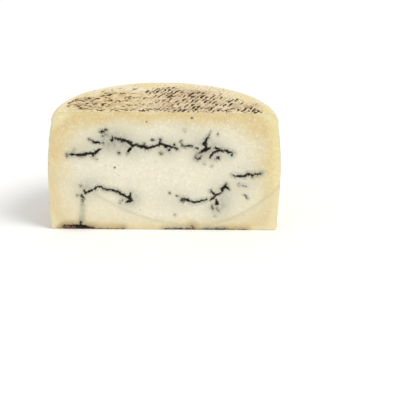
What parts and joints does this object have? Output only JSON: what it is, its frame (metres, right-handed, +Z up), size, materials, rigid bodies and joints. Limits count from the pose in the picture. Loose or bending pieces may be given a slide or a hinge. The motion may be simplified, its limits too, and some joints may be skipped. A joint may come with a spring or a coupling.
{
  "type": "half sheep cheese wheel",
  "caption": "Half of a pressed sheep's cheese wheel with black truffle seams, cut through its middle and standing on its base, with basket and mat print in the rind.",
  "frame": {"origin": "middle of the footprint's box, on the surface the piece stands on", "axes": "+X along the cut, +Y from the cut face to the round back, +Z up along the wheel's axis"},
  "size_m": [0.2198, 0.11, 0.1177],
  "materials": {
    "cheese": "moist cut paste, ivory with near-black truffle seams, golden towards the rind; dry cream rind with dark brown basket and mat print"
  },
  "bodies": {
    "root": {"cheese_half_wheel": "cheese"}
  },
  "joints": []
}
